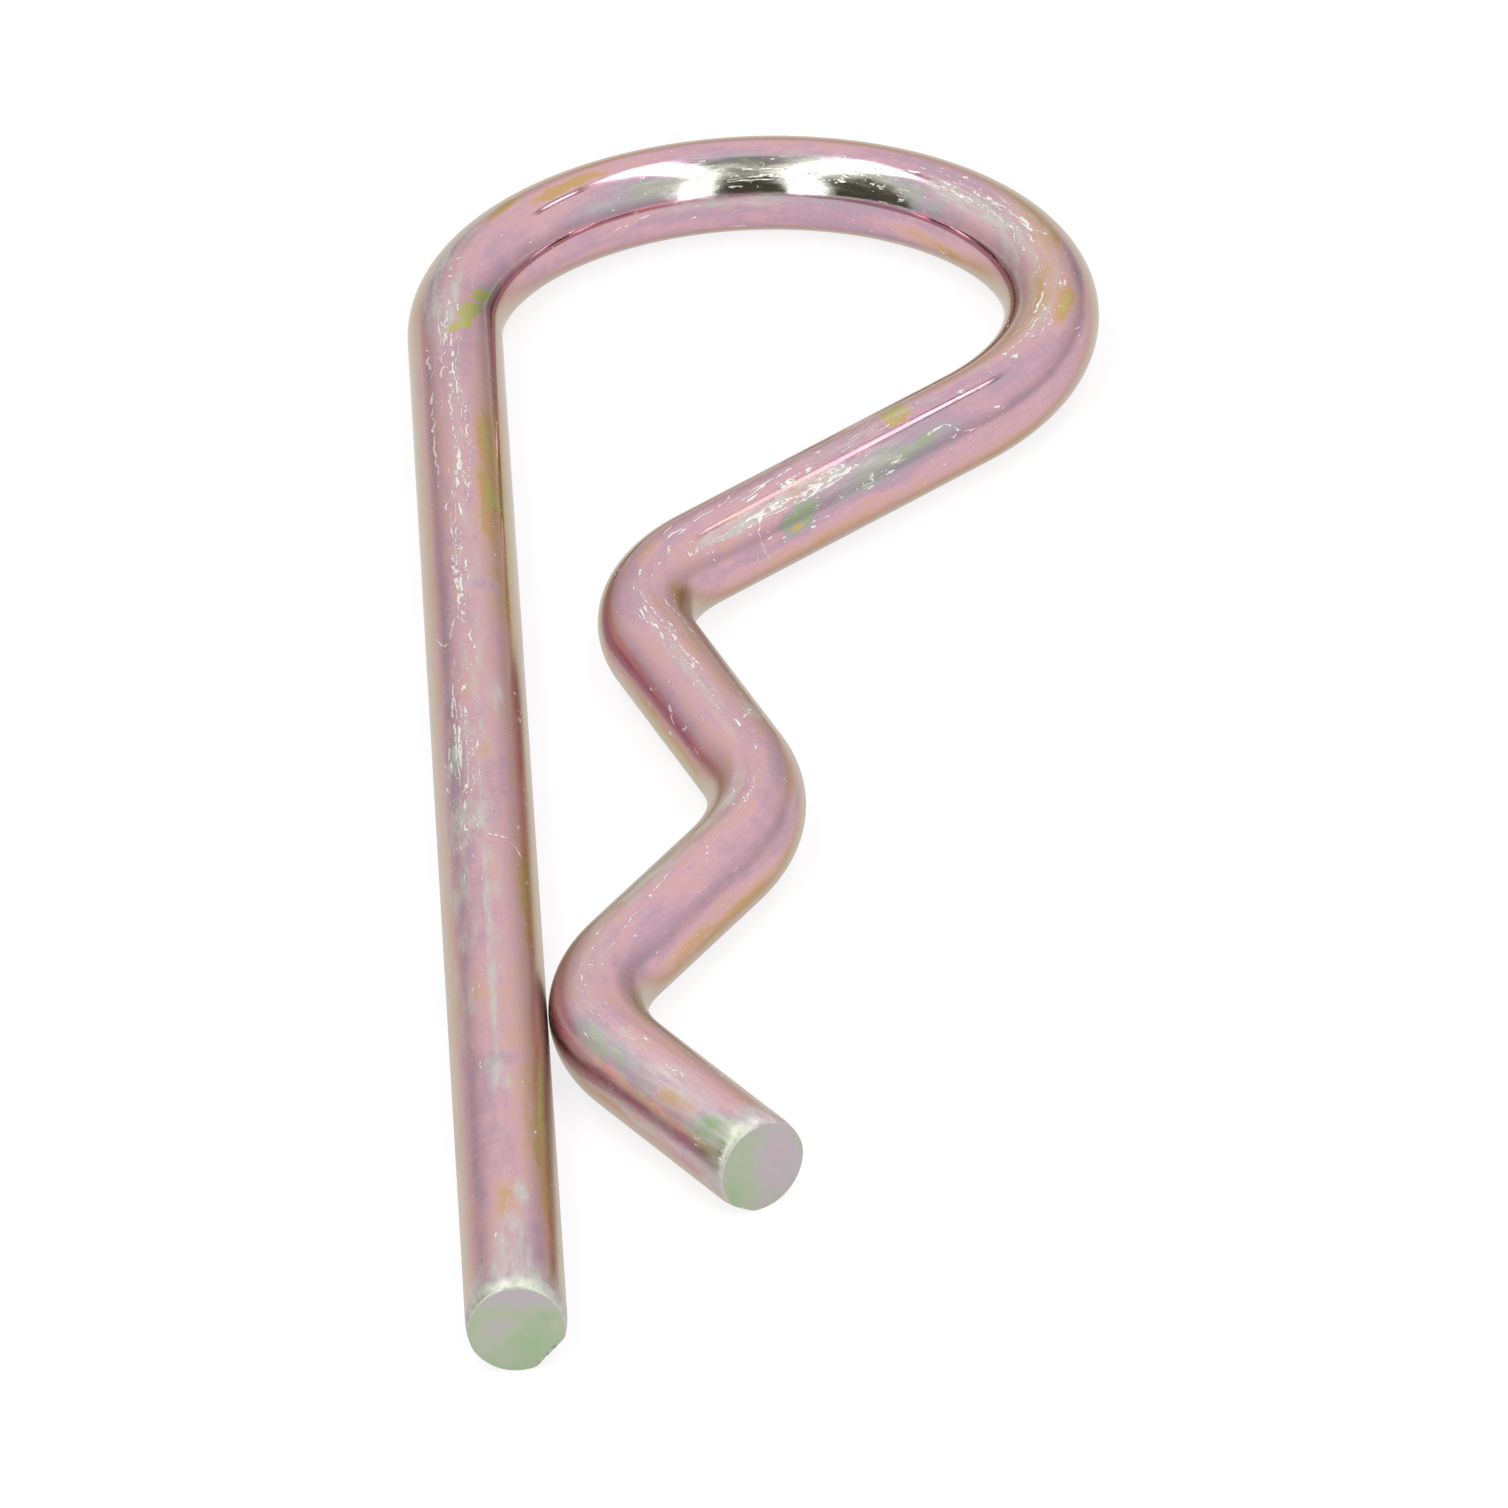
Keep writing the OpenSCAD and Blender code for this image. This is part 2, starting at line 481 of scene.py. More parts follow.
# Film hues in order of thickness, as mirror colours; a hue's place in the list is its thickness
filmHues = {
    "leaf": (0.27, 0.38, 0.16),
    "lime": (0.54, 0.49, 0.17),
    "ochre": (0.60, 0.37, 0.18),
    "salmon": (0.66, 0.415, 0.35),
    "pink": (0.66, 0.405, 0.455),
    "mauve": (0.54, 0.35, 0.43),
    "slate": (0.45, 0.39, 0.43),
    "sage": (0.39, 0.44, 0.31),
    "green": (0.30, 0.43, 0.23),
}
film = {
    "usual": 0.53,                    # thickness, from 0 at the first hue to 1 at the last
    "wander": {"drift": 0.60, "rings": 0.17, "mottle": 0.38, "fine": 0.12},   # how far noise moves it
    "haze": (0.60, 0.585, 0.545),     # colour where the film is rubbed thin
    "zinc": (0.90, 0.88, 0.83),       # where it is scratched away
    "rim": (0.63, 0.575, 0.49),       # and where it is seen from the side
    "edgeTint": (0.78, 0.74, 0.68),
    "hazeRag": 1.8,                   # how ragged the haze's edges are
    "hazeOnset": 6,                   # how fast it sets in
    "leastWear": 0.15,                # share of scratches away from all marks
    "hazyRoughness": 0.34,
    "wornRoughness": 0.24,
    "waveRelief": 0.35,               # height of the waves, in scratch depths
    "hazeRelief": 0.25,               # and of the haze's grain
    "scratchDepth": 0.022 * mm,
}

# How one value follows another: from, to, and what it gives at each
follow = {
    "thinner": (0.5, 0.75, 0, 0.13),      # how much thinner the film looks at a slant
    "darker": (0.52, 0.66, 0, 0.16),      # and how much darker, as painted shade at a slant
    "rim": (0.66, 0.80, 0, 0.75),
    "haze": (0.1, 0.8, 0, 0.9),
    "fleck": (0.38, 0.6, 0.25, 1),
    "gaps": (0.43, 0.53, 0, 0.9),
    "gloss": (28, 64, 0.09, 0.24),        # roughness, by millimetres from the wire's middle
    "tipGloss": (98.2, 99.0, 0, 0.18),    # what it gains where the ends roll over
    "smudge": (0.35, 0.7, -0.02, 0.05),   # and from smudges
    "cutGloss": (0.3, 0.7, 0.32, 0.46),   # roughness of the cut faces
}
wireMiddle = 99.4     # millimetres along the wire from either tip


def mark(along, around, half, share, soft=0.5, slant=0, ragged=1.2, hue=None):
    # soft is how far its edge fades, slant its lean in degrees for each millimetre along the wire, and
    # ragged how torn the edge of a flake is
    return {"centre": (along, around), "half": half, "share": share, "soft": soft, "slant": slant,
            "ragged": ragged, "hue": hue}


# Marks on the film: along the wire in millimetres from the straight leg's tip, around it in degrees from
# its top towards the side that faces +X on the straight leg, half sizes the same way, and how strong
stains = [
    mark(6.3, -4, (2.0, 17), 0.8, soft=0.7, hue="ochre"),
    mark(11.0, 54, (9, 15), 0.85, soft=0.7, hue="ochre"),
    mark(17.3, 6, (0.9, 30), 0.6, soft=0.8, slant=26, hue="sage"),
    mark(42.0, -36, (44, 12), 0.75, soft=0.7, hue="mauve"),
    mark(42.0, -34, (3.6, 14), 0.5, soft=0.9, hue="sage"),
    mark(24.0, -14, (5, 12), 0.4, soft=0.8, hue="salmon"),
    mark(31.0, 52, (4.5, 11), 0.6, hue="ochre"),
    mark(42.0, 2, (0.9, 9), 0.5, hue="ochre"),
    mark(62.5, 24, (8, 17), 0.6, soft=0.9, hue="salmon"),
    mark(66.5, 26, (6.5, 17), 0.55, soft=0.9, hue="ochre"),
    mark(68.6, 34, (2.8, 21), 0.9, soft=0.9, hue="lime"),
    mark(63.2, 34, (2.8, 21), 0.7, soft=0.9, hue="lime"),
    mark(55.7, 24, (0.7, 18), 0.7, soft=0.8, hue="sage"),
    mark(62.0, 52, (12, 11), 0.8, soft=0.7, hue="ochre"),
    mark(75.0, -56, (3.2, 14), 0.6, soft=0.9, hue="sage"),
    mark(84.0, -26, (5, 10), 0.5, hue="sage"),
    mark(88.0, -8, (1.2, 9), 0.6, hue="lime"),
    mark(94.8, 54, (4.4, 20), 1, soft=0.7, hue="sage"),
    mark(97.5, 90, (3.0, 14), 0.6, soft=0.7, hue="slate"),
    mark(109.0, 102, (3.4, 12), 0.6, hue="ochre"),
    mark(115.0, 88, (3.4, 14), 0.8, hue="salmon"),
    mark(115.5, -8, (2.4, 22), 0.5, soft=0.8, hue="ochre"),
    mark(122.0, 4, (5.2, 18), 0.6, soft=0.8, hue="ochre"),
    mark(122.3, -24, (1.4, 11), 0.7, soft=0.6, hue="lime"),
    mark(118.0, -38, (2.4, 14), 0.6, soft=0.6, hue="sage"),
    mark(136.0, -59, (3.8, 22), 0.65, soft=0.6, hue="sage"),
    mark(140.0, -102, (9, 16), 0.8, soft=0.7, hue="salmon"),
    mark(148.9, 6, (1.0, 10), 0.7, hue="ochre"),
    mark(152.3, -47, (2.0, 15), 0.8, soft=0.7, hue="ochre"),
    mark(158.0, 22, (8, 12), 0.5, soft=0.8, hue="mauve"),
    mark(161.0, 95, (4.0, 15), 0.5, hue="lime"),
    mark(157.0, -16, (7, 12), 0.8, soft=0.7, hue="salmon"),
    mark(167.5, -48, (1.6, 14), 0.7, soft=0.7, hue="ochre"),
    mark(171.5, -8, (5.0, 8), 0.8, soft=0.7, hue="salmon"),
    mark(177.0, -50, (6.0, 12), 0.7, soft=0.8, hue="mauve"),
    mark(177.5, -90, (8.0, 20), 0.8, soft=0.7, hue="ochre"),
    mark(187.2, -38, (2.6, 15), 0.7, soft=0.7, slant=8, hue="ochre"),
    mark(190.5, 100, (6.0, 12), 0.4, soft=0.7, slant=-2.5, hue="ochre"),
    mark(192.5, 48, (6.0, 32), 0.75, soft=0.7, hue="slate"),
    mark(189.4, 44, (1.9, 24), 0.9, soft=0.6, hue="sage"),
    mark(190.9, 59, (0.9, 8), 1, hue="pink"),
    mark(195.3, 40, (1.4, 15), 1, hue="salmon"),
    mark(194.3, 45, (0.8, 14), 0.85, soft=0.6, slant=-8, hue="ochre"),
    mark(190.6, 8, (1.6, 12), 0.7, soft=0.8, hue="salmon"),
    mark(192.0, -12, (1.4, 18), 0.5, soft=0.9, hue="ochre"),
    mark(197.4, 48, (1.0, 26), 0.9, soft=0.6, hue="green"),
    mark(198.6, 45, (0.9, 60), 0.8, hue="sage"),
    mark(0.1, 0, (0.7, 400), 0.9, hue="sage"),
]

# Crisp marks where the film chipped and grew again
flakes = [
    mark(81.0, 42, (1.6, 17), 0.9, soft=0.35, slant=5, ragged=2.2, hue="sage"),
    mark(77.8, 5, (0.5, 13), 1, soft=0.06, slant=14, ragged=1.8, hue="lime"),
    mark(79.3, 21, (1.1, 12), 1, soft=0.06, slant=9, ragged=3, hue="lime"),
    mark(80.8, 33, (0.8, 12), 1, soft=0.08, slant=6, ragged=3, hue="lime"),
    mark(91.2, 12, (2.0, 9), 0.6, soft=0.4, ragged=3, hue="lime"),
    mark(104.5, 52, (9.5, 24), 0.5, soft=0.4, ragged=1.6, hue="lime"),
    mark(103.0, 52, (8.5, 28), 0.9, soft=0.35, hue="sage"),
    mark(133.8, -1, (0.8, 16), 0.9, soft=0.3, slant=-8, ragged=2.4, hue="lime"),
    mark(141.2, -63, (1.2, 16), 0.75, soft=0.3, slant=-4, ragged=2.6, hue="green"),
    mark(141.5, -73, (0.35, 4), 1, soft=0.3, ragged=2.6, hue="lime"),
]

# Rubbed, hazy marks
hazePatches = [
    mark(0.2, 0, (1.5, 400), 1),
    mark(3.0, 0, (3.0, 22), 0.7),
    mark(7.0, 15, (1.2, 9), 0.9),
    mark(16.0, -2, (1.4, 18), 0.7, slant=-6),
    mark(26.5, -4, (9, 4.5), 1),
    mark(36.6, -2, (1.4, 9), 1),
    mark(37.2, -20, (0.8, 12), 1, soft=0.3),
    mark(33.0, -40, (14, 24), 0.6, soft=0.9),
    mark(42.5, -28, (3.4, 16), 0.75, soft=0.8, slant=4),
    mark(36.5, -36, (3.0, 13), 0.9, soft=0.7),
    mark(46.5, 22, (1.6, 10), 0.6),
    mark(45.0, 0, (42, 17), 0.42, soft=0.9),
    mark(79.4, -8, (2.6, 9), 1, soft=0.3, slant=4),
    mark(83.0, -26, (6.0, 16), 0.8, soft=0.8),
    mark(99.0, 80, (4.0, 10), 0.6),
    mark(102.0, 46, (9.5, 26), 0.45),
    mark(112.5, 28, (4.5, 12), 0.9, slant=-2),
    mark(117.5, 40, (3.0, 14), 1, soft=0.8),
    mark(120.0, 0, (9.0, 30), 0.5, soft=0.9),
    mark(141.2, -39, (4.6, 8), 1, soft=0.2),
    mark(136.0, -56, (3.6, 20), 0.45, soft=0.8),
    mark(135.0, 4, (8, 20), 0.45, soft=0.9),
    mark(158.5, 12, (6.0, 11), 0.65, soft=0.7),
    mark(162.6, -24, (0.9, 12), 1),
    mark(171.5, 20, (4.0, 14), 0.9, soft=0.7),
    mark(177.5, 20, (4.5, 16), 0.9, soft=0.7),
    mark(183.5, 8, (2, 18), 0.6, soft=0.8),
    mark(190.0, 78, (10, 28), 1, soft=0.7),
    mark(193.0, 62, (4.5, 9), 1.4, soft=0.6),
    mark(193.0, 32, (7, 24), 0.8, soft=0.8),
    mark(199.0, 0, (1.4, 400), 1),
]

# Scratched marks, where the share is how much of the film is gone
scratchPatches = [
    mark(47.0, -5, (10, 14), 0.7),
    mark(59.0, -10, (8, 14), 0.85),
    mark(70.0, -2, (8, 11), 0.9),
    mark(41.0, -22, (9, 26), 0.85),
    mark(79.0, -10, (6.0, 16), 0.9),
    mark(102.5, 48, (8, 22), 0.8),
    mark(112.5, 14, (6.0, 22), 0.85),
    mark(122.0, 0, (8.0, 26), 0.6),
    mark(140.0, -5, (11, 16), 0.65),
    mark(141.5, -42, (5.5, 12), 0.9),
    mark(138.0, -70, (10, 26), 0.4),
    mark(157.0, 8, (9, 16), 0.75),
    mark(171.0, 2, (8, 14), 0.55),
    mark(186.0, 8, (8, 16), 0.45),
    mark(0.1, 0, (0.25, 400), 0.35),
    mark(198.7, 30, (0.25, 90), 0.35),
]

# Single scratches as runs of (along, around) places, with half their width in millimetres
gouges = [
    {"path": [(34.9, 22), (35.0, 2)], "width": 0.1},
    {"path": [(34.0, 42), (34.7, 30)], "width": 0.09},
    {"path": [(50.0, 0), (52.2, -6), (53.3, -20), (51.0, -34), (52.6, -50)], "width": 0.045},
    {"path": [(53.5, -18), (57, -11), (60.5, -8)], "width": 0.053},
    {"path": [(54.5, -14), (58, -19), (62.2, -17)], "width": 0.045},
    {"path": [(62.8, 4), (66.8, 9), (73.5, 1)], "width": 0.045},
    {"path": [(63.0, -3), (66.0, 1)], "width": 0.045},
    {"path": [(67.6, -6), (70.2, -11), (73.0, -9)], "width": 0.053},
    {"path": [(64.5, -32), (70.0, -35), (72.6, -33)], "width": 0.06},
    {"path": [(74.0, -33), (77.0, -38)], "width": 0.045},
    {"path": [(71.0, 5), (74.5, -2), (76.9, 6), (76.2, -6)], "width": 0.038},
    {"path": [(73.6, -20), (76.4, -14), (80.5, -4)], "width": 0.075},
    {"path": [(92.8, 92), (95.0, 81)], "width": 0.06},
    {"path": [(109.0, 31), (113.0, 26), (115.4, 21), (116.4, 30)], "width": 0.07},
    {"path": [(110.0, 16), (114.4, 10), (116.0, 2), (116.8, -12)], "width": 0.07},
    {"path": [(116.0, 10), (120.2, 14)], "width": 0.05},
    {"path": [(122.6, 4), (123.6, -18), (124.8, -18)], "width": 0.06},
    {"path": [(123.0, -3), (128.4, -5)], "width": 0.05},
    {"path": [(131.8, -60), (132.4, -48), (133.6, -46)], "width": 0.06},
    {"path": [(137.9, -32), (139.4, -35), (140.7, -42), (144.0, -36)], "width": 0.13},
    {"path": [(139.2, -36), (140.6, -48)], "width": 0.1},
    {"path": [(143.3, -40), (143.6, -74), (143.1, -108)], "width": 0.03},
    {"path": [(142.6, 12), (144.3, -3)], "width": 0.05},
    {"path": [(146.4, 10), (147.4, 4)], "width": 0.07},
    {"path": [(148.0, -12), (149.2, -20)], "width": 0.07},
    {"path": [(146.6, -40), (148.0, -38)], "width": 0.06},
    {"path": [(151.8, 5), (155.0, 3), (159.8, -1)], "width": 0.06},
    {"path": [(158.2, -2), (159.3, 12), (160.6, 24)], "width": 0.05},
    {"path": [(155.3, 13), (157.3, 20)], "width": 0.05},
    {"path": [(159.4, 56), (160.9, 66)], "width": 0.07},
    {"path": [(152.8, -20), (154.0, -25), (156.0, -24)], "width": 0.06},
    {"path": [(163.6, -6), (162.6, -26)], "width": 0.07},
    {"path": [(167.6, -5), (171.4, -2)], "width": 0.06},
    {"path": [(174.0, -8), (175.0, -22)], "width": 0.06},
    {"path": [(176.0, 2), (179.5, -10), (182.5, -14), (184.6, -4), (184.2, 16)], "width": 0.035},
    {"path": [(184.2, 16), (187.0, 21), (190.5, 16), (194.5, 13)], "width": 0.03},
]

# How single scratches run and fade
gougeLook = {
    "far": 1,           # millimetres from which no scratch counts
    "search": 0.8,      # millimetres past its ends where a scratch is still looked for
    "swell": 1.2,       # share of the stated width in the middle of a stretch
    "fade": 0.3,        # millimetres over which it fades past its ends
    "shake": 0.55,      # millimetres that it wanders
    "core": 0.4,        # share of its width that is quite bare
    "least": 0.01,      # half width that still shows
}

# Noises that make the stains' edges ragged: degrees, then features per millimetre across and along
stainRags = ((7, 2, 0.5), (4.2, 4, 1.1))
markReach = 1.5                             # half sizes at which a mark has faded out
degreeLength = radians(wireRadius / mm)     # millimetres round the wire for a degree


def levelOf(hue):
    return list(filmHues).index(hue) / (len(filmHues) - 1)


def nearness(place, along, around):
    # 1 in the middle of a mark, falling to 0 past its edge
    ahead = (along - place["centre"][0]) / place["half"][0]
    if abs(ahead) > markReach:
        return 0
    lean = place["slant"] * (along - place["centre"][0])
    aside = ((around - place["centre"][1] - lean + 180) % 360 - 180) / place["half"][1]
    reach = sqrt(ahead ** 2 + aside ** 2)
    return min(1, max(0, (markReach - reach) / (2 * place["soft"])))


def nearestGouge(along, around):
    # Signed gap to the nearest single scratch and half its width there, which fades past its ends
    here = Vector((along, around * degreeLength))
    nearest = (gougeLook["far"], 0)
    search = gougeLook["search"]
    for scratch in gouges:
        for start, end in zip(scratch["path"], scratch["path"][1:]):
            if not min(start[0], end[0]) - search < along < max(start[0], end[0]) + search:
                continue
            first = Vector((start[0], start[1] * degreeLength))
            way = Vector((end[0], end[1] * degreeLength)) - first
            share = (here - first).dot(way) / way.length_squared
            gap = here - first - min(1, max(0, share)) * way
            if gap.length < abs(nearest[0]):
                offMiddle = abs(share - 0.5)
                past = max(0, offMiddle - 0.5) * way.length
                swell = gougeLook["swell"] * (1 - min(0.5, offMiddle)) - past / gougeLook["fade"]
                nearest = (copysign(gap.length, way.cross(gap)), scratch["width"] * max(0, swell))
    return (*nearest, 0)


def smoothStep(share):
    return share * share * (3 - 2 * share)


def stainWire(mesh):
    # wireWear holds haze, scratches and film thickness; wireGouge the gap and width of single scratches
    mesh.attributes.new("wireWear", "FLOAT_VECTOR", "POINT")
    mesh.attributes.new("wireGouge", "FLOAT_VECTOR", "POINT")
    places = mesh.attributes["wirePlace"].data
    wear = mesh.attributes["wireWear"].data
    gougeGaps = mesh.attributes["wireGouge"].data
    for place, value, gougeGap in zip(places, wear, gougeGaps):
        aside, height, along = place.vector / mm
        around = degrees(atan2(-aside, height))
        rag = sum(depth * noise.noise(Vector((aside * across, height * across, along * drawn)))
                  for depth, across, drawn in stainRags)
        haze = max(spot["share"] * nearness(spot, along, around) for spot in hazePatches)
        worn = max(spot["share"] * nearness(spot, along, around) for spot in scratchPatches)
        level = film["usual"]
        for stain in stains:
            share = stain["share"] * smoothStep(nearness(stain, along, around + rag))
            level += share * (levelOf(stain["hue"]) - level)
        value.vector = (haze, worn, level)
        gougeGap.vector = nearestGouge(along, around)


def startMaterial(name):
    material = bpy.data.materials.new(name)
    material.use_nodes = True
    shader = material.node_tree.nodes["Principled BSDF"]
    shader.inputs["Metallic"].default_value = 1
    shader.inputs["Specular Tint"].default_value = (*film["edgeTint"], 1)
    return material, material.node_tree, shader


def endMaterial(tree, shader, colour, roughness, height, depth):
    bump = addNode(tree, "ShaderNodeBump", {"Height": height, "Strength": 1, "Distance": depth})
    tree.links.new(colour, shader.inputs["Base Color"])
    tree.links.new(roughness, shader.inputs["Roughness"])
    tree.links.new(bump.outputs[0], shader.inputs["Normal"])


def hueRamp(tree, thickness):
    ramp = addNode(tree, "ShaderNodeValToRGB", {"Fac": thickness})
    stops = ramp.color_ramp.elements
    for spare in range(len(filmHues) - 2):
        stops.new(1)
    for stop, (hue, colour) in zip(stops, filmHues.items()):
        stop.position = levelOf(hue)
        stop.color = (*colour, 1)
    return ramp.outputs[0]


def grain(tree, rod, name):
    across, along, detail, seed = grains[name]
    return useGroup(tree, streaks, Rod=rod, Across=across, Along=along, Detail=detail, Seed=seed)["Value"]


def patchShare(tree, spot, rag, place):
    mask = useGroup(tree, patch, Spot=spot, Rag=rag, Centre=(*place["centre"], 0),
                    Half_Size=(*place["half"], 1), Slant=place["slant"], Ragged=place["ragged"],
                    Soft=place["soft"])["Mask"]
    return calc(tree, "MULTIPLY", mask, place["share"])


def makeFinish():
    material, tree, shader = startMaterial("yellow_zinc")
    places = useGroup(tree, wirePlaces)
    rod = places["Rod"]
    blot = grain(tree, rod, "blot")
    feather = grain(tree, rod, "feather")
    wear = partsOf(tree, readAttribute(tree, "wireWear"))

    # Film thickness drifts in long streaks, faint rings, small blots and fine grain, under the flakes
    thickness = wear["Z"]
    for name, depth in film["wander"].items():
        thickness = swing(tree, grain(tree, rod, name), depth, thickness)
    for flake in flakes:
        thickness = mixValue(tree, patchShare(tree, places["Spot"], blot, flake), thickness,
                             levelOf(flake["hue"]))
    slope = addNode(tree, "ShaderNodeLayerWeight", {"Blend": 0.5}).outputs["Facing"]
    thickness = calc(tree, "SUBTRACT", thickness, mapValue(tree, slope, *follow["thinner"]))
    colour = hueRamp(tree, thickness)
    # Painted shade: the colour is darkened towards black where the wire is seen at a slant
    colour = mixColour(tree, mapValue(tree, slope, *follow["darker"]), colour, (0, 0, 0, 1))
    colour = mixColour(tree, mapValue(tree, slope, *follow["rim"]), colour, (*film["rim"], 1))

    # Rubbed haze
    fleck = grain(tree, rod, "fleck")
    onset = calc(tree, "MINIMUM", calc(tree, "MULTIPLY", wear["X"], film["hazeOnset"]), 1)
    rub = calc(tree, "MULTIPLY", swing(tree, feather, film["hazeRag"], wear["X"]), onset)
    grained = mapValue(tree, fleck, *follow["fleck"])
    haze = calc(tree, "MULTIPLY", mapValue(tree, rub, *follow["haze"]), grained)
    colour = mixColour(tree, haze, colour, (*film["haze"], 1))

    # Scratches through to the zinc: fine ones, then single ones, shaken so that they never run straight
    share = calc(tree, "MAXIMUM", wear["Y"], film["leastWear"])
    worn = useGroup(tree, scratches, Rod=rod, Share=share, Seed=3)["Mask"]
    gouge = partsOf(tree, readAttribute(tree, "wireGouge"))
    gap = calc(tree, "ABSOLUTE", swing(tree, grain(tree, rod, "shake"), gougeLook["shake"], gouge["X"]))
    width = gouge["Y"]
    line = mapValue(tree, gap, width, calc(tree, "MULTIPLY", width, gougeLook["core"]))
    line = calc(tree, "MULTIPLY", line, calc(tree, "GREATER_THAN", width, gougeLook["least"]))
    unbroken = mapValue(tree, grain(tree, rod, "gaps"), *follow["gaps"])
    worn = calc(tree, "MAXIMUM", worn, calc(tree, "MULTIPLY", line, unbroken))
    colour = mixColour(tree, worn, colour, (*film["zinc"], 1))

    along = partsOf(tree, places["Spot"])["X"]
    fromMiddle = calc(tree, "ABSOLUTE", calc(tree, "SUBTRACT", along, wireMiddle))
    smudge = mapValue(tree, grain(tree, rod, "smudge"), *follow["smudge"])
    gloss = calc(tree, "ADD", mapValue(tree, fromMiddle, *follow["gloss"]), smudge)
    gloss = mixValue(tree, haze, gloss, film["hazyRoughness"])
    gloss = calc(tree, "ADD", gloss, mapValue(tree, fromMiddle, *follow["tipGloss"]))
    roughness = mixValue(tree, worn, gloss, film["wornRoughness"])

    # Relief: slow waves from drawing the wire, the grain of the haze and the scratches' depth
    relief = calc(tree, "MULTIPLY_ADD", grain(tree, rod, "waves"), film["waveRelief"],
                  calc(tree, "MULTIPLY", worn, -1))
    relief = calc(tree, "MULTIPLY_ADD", calc(tree, "MULTIPLY", haze, fleck), film["hazeRelief"], relief)
    endMaterial(tree, shader, colour, roughness, relief, film["scratchDepth"])
    return material


# Cut faces: a duller, greener film over the shear marks. Their marks' places and half sizes run left of the
# wire and up from its middle, in millimetres, first on the leg's tip and then on the lip's
cutFace = {
    "usual": 0.92,
    "mottle": 0.5,
    "haze": 0.2,
    "marks": 0.03 * mm,          # depth of the shear marks
    "tips": (
        [mark(0.7, -0.1, (0.8, 0.5), 0.75, soft=0.9, ragged=1.4, hue="slate"),
         mark(-0.2, 1.5, (2.2, 0.7), 1, soft=0.9, ragged=1.4, hue="slate"),
         mark(-0.6, -0.8, (1.0, 0.6), 1, soft=0.9, ragged=1.4, hue="green")],
        [mark(0.8, 0.1, (1.2, 2.0), 0.75, soft=0.9, ragged=1.4, hue="mauve"),
         mark(-0.9, -0.2, (0.6, 1.6), 0.9, soft=0.9, ragged=1.4, hue="sage"),
         mark(-1.3, -1.0, (0.4, 0.7), 0.9, soft=0.9, ragged=1.4, hue="green")],
    ),
}


def makeCutFace():
    material, tree, shader = startMaterial("cut_face")
    rod = useGroup(tree, wirePlaces)["Rod"]
    rag = grain(tree, rod, "rag")
    thickness = swing(tree, grain(tree, rod, "cloud"), cutFace["mottle"], cutFace["usual"])
    onLip = calc(tree, "GREATER_THAN", partsOf(tree, rod)["Z"], wireMiddle)
    onLeg = calc(tree, "SUBTRACT", 1, onLip)
    spot = calcVector(tree, "MULTIPLY", rod, (1, 1, 0))     # the place on the face, without the way along
    for here, places in zip((onLeg, onLip), cutFace["tips"]):
        for place in places:
            share = calc(tree, "MULTIPLY", patchShare(tree, spot, rag, place), here)
            thickness = mixValue(tree, share, thickness, levelOf(place["hue"]))
    colour = mixColour(tree, cutFace["haze"], hueRamp(tree, thickness), (*film["haze"], 1))
    marks = grain(tree, rod, "shear")
    roughness = mapValue(tree, marks, *follow["cutGloss"])
    endMaterial(tree, shader, colour, roughness, marks, cutFace["marks"])
    return material


stainWire(springWire.data)
springWire.data.materials.append(makeFinish())
springWire.data.materials.append(makeCutFace())
print("finish made:", len(stains), "stains,", len(flakes), "flakes,", len(gouges), "scratches")

# Light box: white all round, five lamp bars, and the dark and dim panels that the metal reflects
box = {
    "ceiling": 500 * mm,
    "front": -350 * mm,
    "behind": 1 * mm,       # how far the panels stand behind the lamps
    "barGlow": 3.0,
    "glows": {              # name, strength and colour of the panels' materials
        "dark": ("dark_opening", 0.12, (1.0, 0.9, 0.7)),
        "dim": ("dim_ceiling", 0.45, (1.0, 0.98, 0.9)),
    },
    "facings": {            # which way a panel faces, and which way its height runs
        "front": ((0, 1, 0), (0, 0, 1)),
        "left": ((1, 0, 0), (0, 0, 1)),
        "ceiling": ((0, 0, -1), (0, 1, 0)),
        "turned": ((0, 0, -1), (0.64, 0.77, 0)),
    },
}
top = box["ceiling"]
front = box["front"]
cardTop = top + box["behind"]
cardFront = front - box["behind"]

# Facing, middle, and width and height, in metres
bars = {
    "front_right_bar": ("front", (0.155, front, 0.25), (0.12, 0.46)),
    "front_left_bar": ("front", (-0.20, front, 0.25), (0.14, 0.46)),
    "top_right_bar": ("ceiling", (0.14, -0.04, top), (0.10, 0.60)),
    "top_left_bar": ("ceiling", (-0.195, -0.05, top), (0.16, 0.60)),
    "back_right_bar": ("turned", (0.27, 0.29, top), (0.042, 0.10)),
}

# The same for the panels, after the glow
cards = {
    "front_opening": ("dark", "front", (-0.015, cardFront, 0.24), (0.23, 0.42)),
    "left_panel": ("dark", "left", (-0.35, -0.22, 0.26), (0.34, 0.42)),
    "ceiling_middle": ("dim", "ceiling", (0.0, -0.12, cardTop), (0.16, 0.46)),
    "back_right_frame": ("dark", "turned", (0.27, 0.29, cardTop), (0.10, 0.16)),
    "left_end": ("dim", "ceiling", (-0.25, 0.30, cardTop), (0.14, 0.05)),
    "right_end": ("dim", "ceiling", (0.175, 0.26, cardTop), (0.05, 0.09)),
}


def standAt(centre, facing, turnedAway=False):
    # A panel's z axis points the way it faces, and a lamp's the other way, as it shines down that axis
    normal, up = box["facings"][facing]
    z = Vector(normal).normalized() * (-1 if turnedAway else 1)
    y = Vector(up).normalized()
    return Matrix.Translation(centre) @ Matrix((y.cross(z), y, z)).transposed().to_4x4()


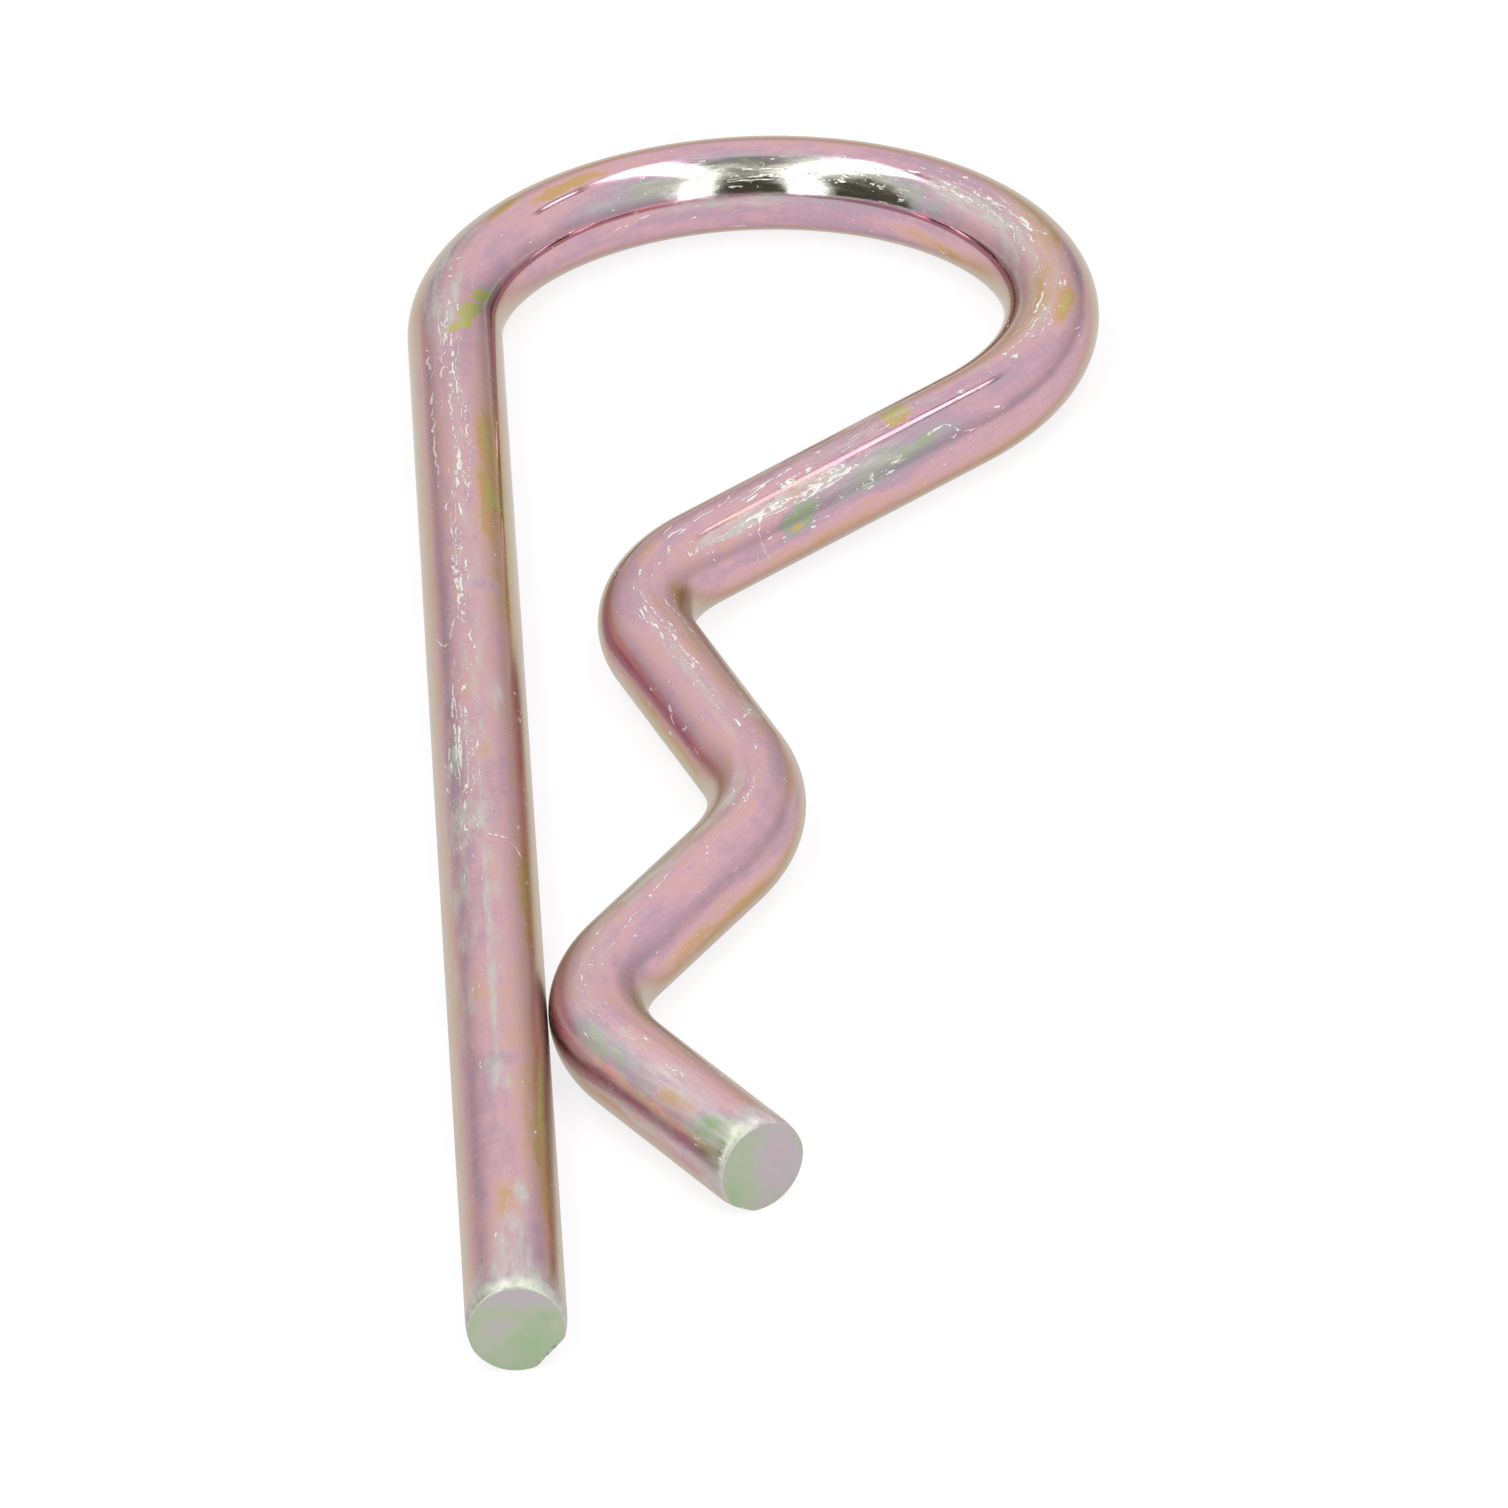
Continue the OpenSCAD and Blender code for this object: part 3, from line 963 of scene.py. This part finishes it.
def addBar(name, facing, centre, size):
    # An area lamp that shows in the metal and not to the camera
    data = bpy.data.lights.new(name, "AREA")
    data.shape = "RECTANGLE"
    data.size, data.size_y = size
    data.energy = box["barGlow"] * pi * size[0] * size[1]
    lamp = bpy.data.objects.new(name, data)
    lamp.matrix_world = standAt(centre, facing, turnedAway=True)
    lamp.visible_camera = False
    bpy.context.scene.collection.objects.link(lamp)


def addSheet(name, material, half, matrix=Matrix()):
    # A level square, reaching half its side each way, then moved by the matrix
    bm = bmesh.new()
    bmesh.ops.create_grid(bm, x_segments=1, y_segments=1, size=half, matrix=matrix)
    mesh = bpy.data.meshes.new(name)
    bm.to_mesh(mesh)
    bm.free()
    mesh.materials.append(material)
    sheet = bpy.data.objects.new(name, mesh)
    bpy.context.scene.collection.objects.link(sheet)
    return sheet


def emitter(name, strength, colour):
    material = bpy.data.materials.new(name)
    material.use_nodes = True
    tree = material.node_tree
    tree.nodes.clear()
    glow = addNode(tree, "ShaderNodeEmission", {"Color": (*colour, 1), "Strength": strength})
    addNode(tree, "ShaderNodeOutputMaterial", {"Surface": glow.outputs[0]})
    return material


for name, (facing, centre, size) in bars.items():
    addBar(name, facing, centre, size)
emitters = {kind: emitter(*glow) for kind, glow in box["glows"].items()}
for name, (kind, facing, centre, size) in cards.items():
    matrix = standAt(centre, facing) @ Matrix.Diagonal((*size, 1, 1))
    card = addSheet(name, emitters[kind], 0.5, matrix)
    card.visible_camera = False
    card.visible_diffuse = False
    card.visible_shadow = False

# Tent: its brightness by height, then what is added behind, where the sheet sweeps up, and at both sides.
# Each is from, to, and what it gives at each
tent = {
    "low": (0, 0.14, 0.88, 0.60),
    "high": (0.12, 0.48, 0, 0.42),
    "sweep": (0.15, 0.45, 0.26, 0),
    "sweepHeight": (0.1, 0.4, 1, 0),
    "sides": (0.65, 0.95, 0, 0.10),
    "sidesHeight": (0.1, 0.3, 1, 0),
    "fill": 0.65,           # brightness as light on dull surfaces
}


def makeWorld():
    world = bpy.data.worlds.new("white_tent")
    bpy.context.scene.world = world
    world.use_nodes = True
    tree = world.node_tree
    tree.nodes.clear()
    way = partsOf(tree, addNode(tree, "ShaderNodeTexCoord").outputs["Generated"])
    height = way["Z"]
    aside = calc(tree, "ABSOLUTE", way["X"])
    walls = calc(tree, "ADD", mapValue(tree, height, *tent["low"]), mapValue(tree, height, *tent["high"]))
    sweep = calc(tree, "MULTIPLY", mapValue(tree, aside, *tent["sweep"]),
                 mapValue(tree, height, *tent["sweepHeight"]))
    sweep = calc(tree, "MULTIPLY", sweep, calc(tree, "GREATER_THAN", way["Y"], 0))
    sides = calc(tree, "MULTIPLY", mapValue(tree, aside, *tent["sides"]),
                 mapValue(tree, height, *tent["sidesHeight"]))
    seen = calc(tree, "ADD", walls, calc(tree, "ADD", sweep, sides))
    diffuse = addNode(tree, "ShaderNodeLightPath").outputs["Is Diffuse Ray"]
    strength = mixValue(tree, diffuse, seen, tent["fill"])
    glow = addNode(tree, "ShaderNodeBackground", {"Color": (1, 1, 1, 1), "Strength": strength})
    addNode(tree, "ShaderNodeOutputWorld", {"Surface": glow.outputs[0]})


# Floor: a sheet that is white to the camera and a little darker in the metal
floorLook = {
    "half": 1.5,        # metres
    "grey": 0.24,
    "toCamera": 0.79,
    "inMetal": 0.72,
}


def makeFloor():
    material = bpy.data.materials.new("white_sheet")
    material.use_nodes = True
    tree = material.node_tree
    shader = tree.nodes["Principled BSDF"]
    shader.inputs["Base Color"].default_value = (*[floorLook["grey"]] * 3, 1)
    shader.inputs["Roughness"].default_value = 1
    shader.inputs["Specular IOR Level"].default_value = 0
    path = addNode(tree, "ShaderNodeLightPath").outputs
    lift = calc(tree, "MAXIMUM", calc(tree, "MULTIPLY", path["Is Camera Ray"], floorLook["toCamera"]),
                calc(tree, "MULTIPLY", path["Is Glossy Ray"], floorLook["inMetal"]))
    shader.inputs["Emission Color"].default_value = (1, 1, 1, 1)
    tree.links.new(lift, shader.inputs["Emission Strength"])
    floor = addSheet("floor", material, floorLook["half"])


makeWorld()
makeFloor()
bpy.context.scene.view_settings.view_transform = "Standard"
print("light box set")
